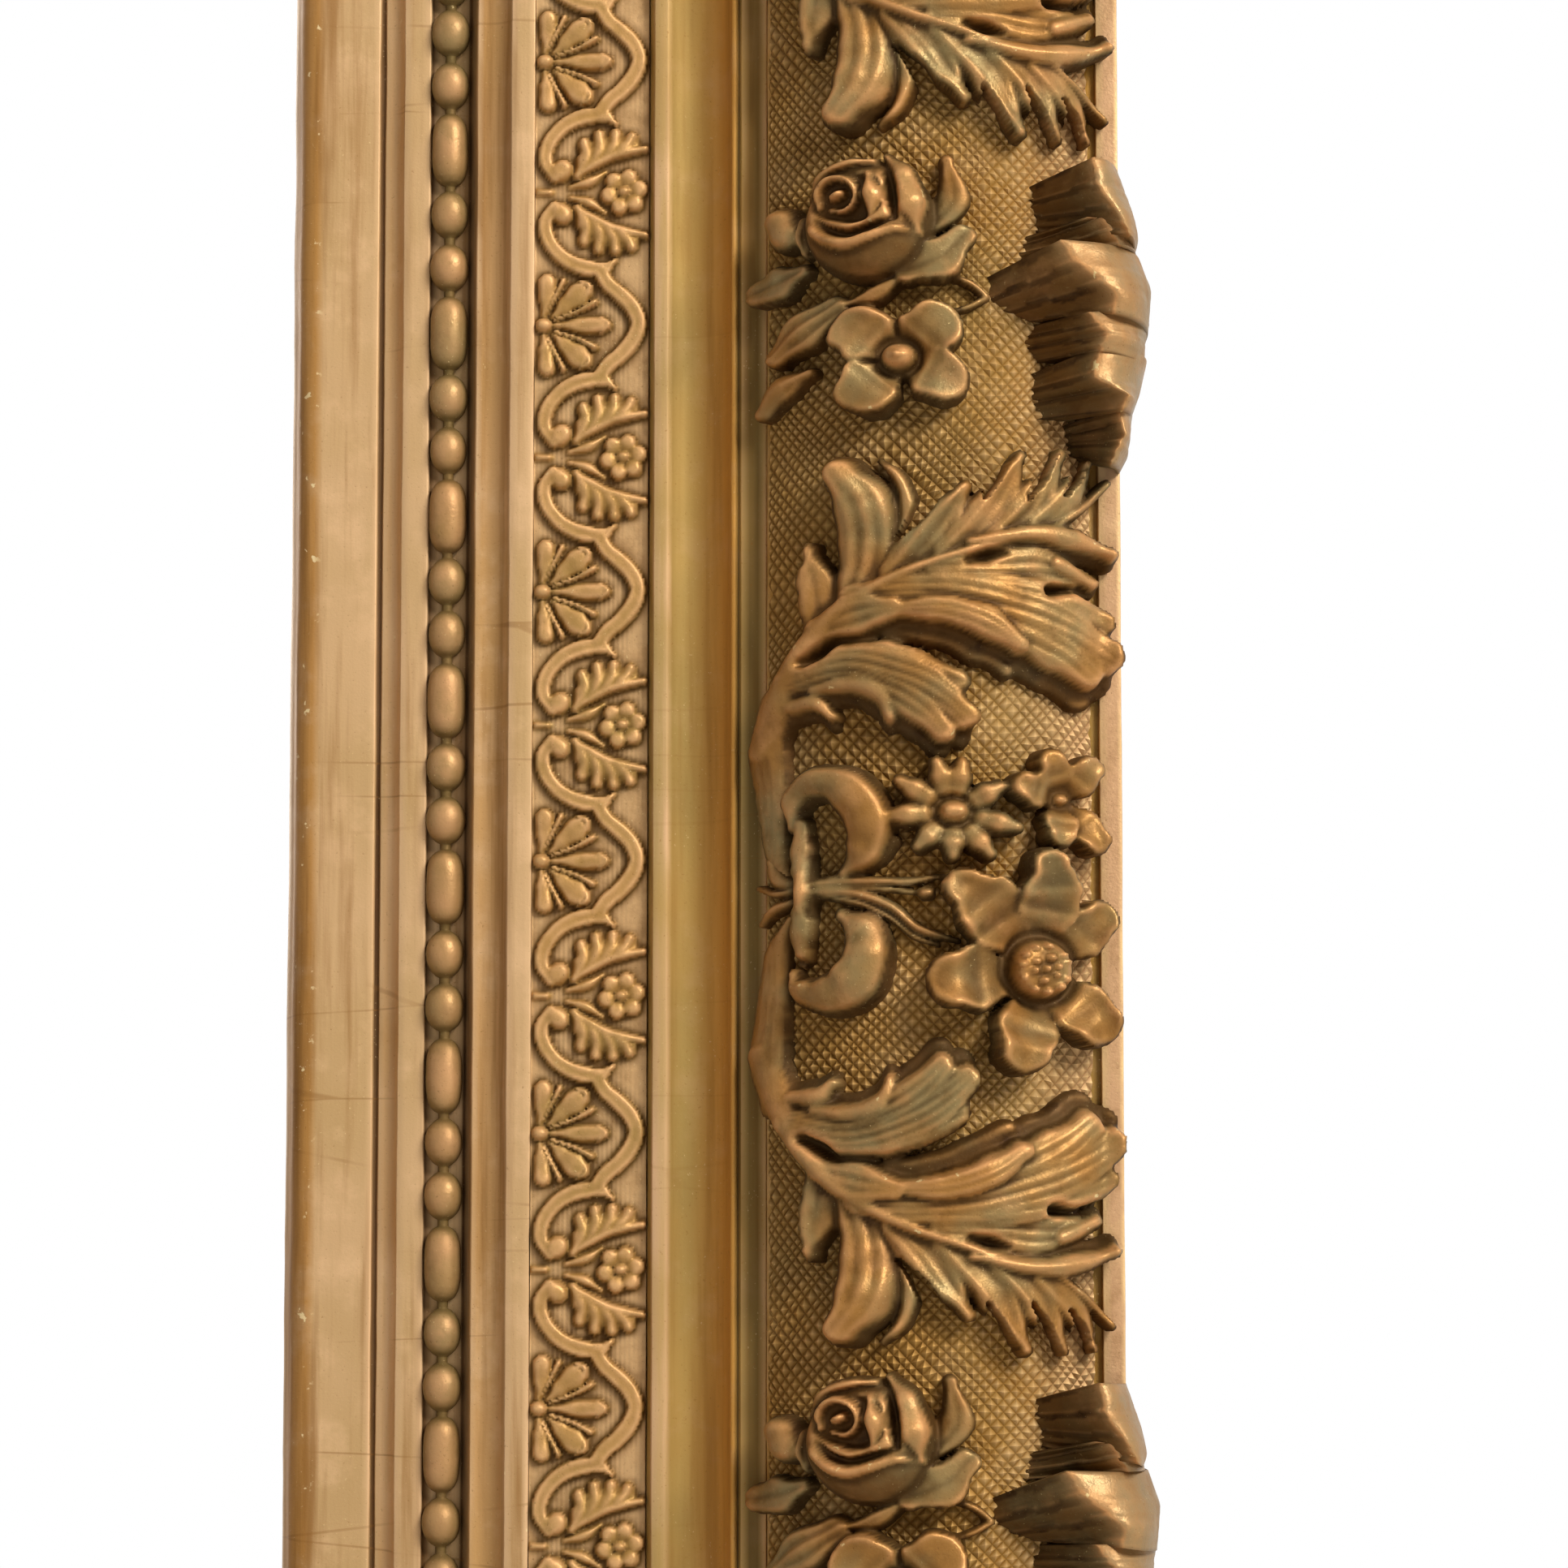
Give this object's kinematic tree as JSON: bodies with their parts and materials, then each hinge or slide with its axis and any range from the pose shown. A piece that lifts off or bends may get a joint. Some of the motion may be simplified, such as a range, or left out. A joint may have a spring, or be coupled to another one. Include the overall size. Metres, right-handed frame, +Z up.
{
  "type": "ornate gilded picture frame",
  "caption": "Deep gilded picture frame: stepped sight moulding with beads and lace, a cove, and a cross-hatched torus with scroll leaves, flowers and edge shells; turn-buttons and rings behind.",
  "frame": {"origin": "centre of the top rail's back face, in the wall plane", "axes": "+Z up, +Y into the wall, so the front faces -Y, +X to the right seen from the front"},
  "size_m": [0.872, 0.0962, 1.126],
  "materials": {
    "gilded_sight_moulding": "aged satin bronze gilding",
    "gilded_cove": "aged satin bronze gilding, toned in the hollow",
    "gilded_hatching": "aged bronze gilding with dark toning in cut hatching",
    "gilded_beads": "aged satin bronze gilding, rubbed",
    "gilded_lace": "aged satin bronze gilding, toned ground",
    "gilded_foliage": "aged satin bronze gilding, rubbed on the high points",
    "bare_pine": "bare aged pine",
    "hardwood": "bare beech",
    "brass_hardware": "dull aged brass",
    "steel_screws": "dull steel"
  },
  "bodies": {
    "frame": {"assembly_screws": "steel_screws", "back_rail_bottom": "bare_pine", "back_rail_left": "bare_pine", "back_rail_right": "bare_pine", "back_rail_top": "bare_pine", "back_strip_bottom": "bare_pine", "back_strip_left": "bare_pine", "back_strip_right": "bare_pine", "back_strip_top": "bare_pine", "bead_string_bottom": "gilded_beads", "bead_string_left": "gilded_beads", "bead_string_right": "gilded_beads", "bead_string_top": "gilded_beads", "corner_ornaments": "gilded_foliage", "cove_rail_bottom": "gilded_cove", "cove_rail_left": "gilded_cove", "cove_rail_right": "gilded_cove", "cove_rail_top": "gilded_cove", "edge_shells_bottom": "gilded_foliage", "edge_shells_left": "gilded_foliage", "edge_shells_right": "gilded_foliage", "edge_shells_top": "gilded_foliage", "hanger_plate_left": "brass_hardware", "hanger_plate_right": "brass_hardware", "hanger_screws": "steel_screws", "lace_strip_bottom": "gilded_lace", "lace_strip_left": "gilded_lace", "lace_strip_right": "gilded_lace", "lace_strip_top": "gilded_lace", "mitre_keys": "hardwood", "rose_sprays_bottom": "gilded_foliage", "rose_sprays_left": "gilded_foliage", "rose_sprays_right": "gilded_foliage", "rose_sprays_top": "gilded_foliage", "scroll_leaves_bottom": "gilded_foliage", "scroll_leaves_left": "gilded_foliage", "scroll_leaves_right": "gilded_foliage", "scroll_leaves_top": "gilded_foliage", "sight_rail_bottom": "gilded_sight_moulding", "sight_rail_left": "gilded_sight_moulding", "sight_rail_right": "gilded_sight_moulding", "sight_rail_top": "gilded_sight_moulding", "tie_bouquets_bottom": "gilded_foliage", "tie_bouquets_left": "gilded_foliage", "tie_bouquets_right": "gilded_foliage", "tie_bouquets_top": "gilded_foliage", "torus_rail_bottom": "gilded_hatching", "torus_rail_left": "gilded_hatching", "torus_rail_right": "gilded_hatching", "torus_rail_top": "gilded_hatching", "turn_button_screws": "brass_hardware"},
    "hanger_ring_left": {"hanger_ring_left": "brass_hardware"},
    "hanger_ring_right": {"hanger_ring_right": "brass_hardware"},
    "turn_button_bottom": {"turn_button_bottom": "brass_hardware"},
    "turn_button_left_lower": {"turn_button_left_lower": "brass_hardware"},
    "turn_button_left_upper": {"turn_button_left_upper": "brass_hardware"},
    "turn_button_right_lower": {"turn_button_right_lower": "brass_hardware"},
    "turn_button_right_upper": {"turn_button_right_upper": "brass_hardware"},
    "turn_button_top": {"turn_button_top": "brass_hardware"}
  },
  "joints": [
    {"name": "turn_button_right_upper_pivot", "type": "hinge", "parent": "frame", "child": "turn_button_right_upper", "pos_m": [0.2745, -0.00885, -0.208], "axis": [0, 1, 0], "range_deg": [0, 180]},
    {"name": "turn_button_right_lower_pivot", "type": "hinge", "parent": "frame", "child": "turn_button_right_lower", "pos_m": [0.2745, -0.00885, -0.748], "axis": [0, 1, 0], "range_deg": [0, 180]},
    {"name": "turn_button_left_upper_pivot", "type": "hinge", "parent": "frame", "child": "turn_button_left_upper", "pos_m": [-0.2745, -0.00885, -0.208], "axis": [0, -1, 0], "range_deg": [0, 180]},
    {"name": "turn_button_left_lower_pivot", "type": "hinge", "parent": "frame", "child": "turn_button_left_lower", "pos_m": [-0.2745, -0.00885, -0.748], "axis": [0, -1, 0], "range_deg": [0, 180]},
    {"name": "turn_button_top_pivot", "type": "hinge", "parent": "frame", "child": "turn_button_top", "pos_m": [0, -0.00885, -0.0765], "axis": [0, 1, 0], "range_deg": [0, 180]},
    {"name": "turn_button_bottom_pivot", "type": "hinge", "parent": "frame", "child": "turn_button_bottom", "pos_m": [0, -0.00885, -0.8795], "axis": [0, 1, 0], "range_deg": [0, 180]},
    {"name": "hanger_ring_right_swing", "type": "hinge", "parent": "frame", "child": "hanger_ring_right", "pos_m": [0.268, -0.006, -0.278], "axis": [1, 0, 0], "range_deg": [0, 180]},
    {"name": "hanger_ring_left_swing", "type": "hinge", "parent": "frame", "child": "hanger_ring_left", "pos_m": [-0.268, -0.006, -0.278], "axis": [1, 0, 0], "range_deg": [0, 180]}
  ]
}
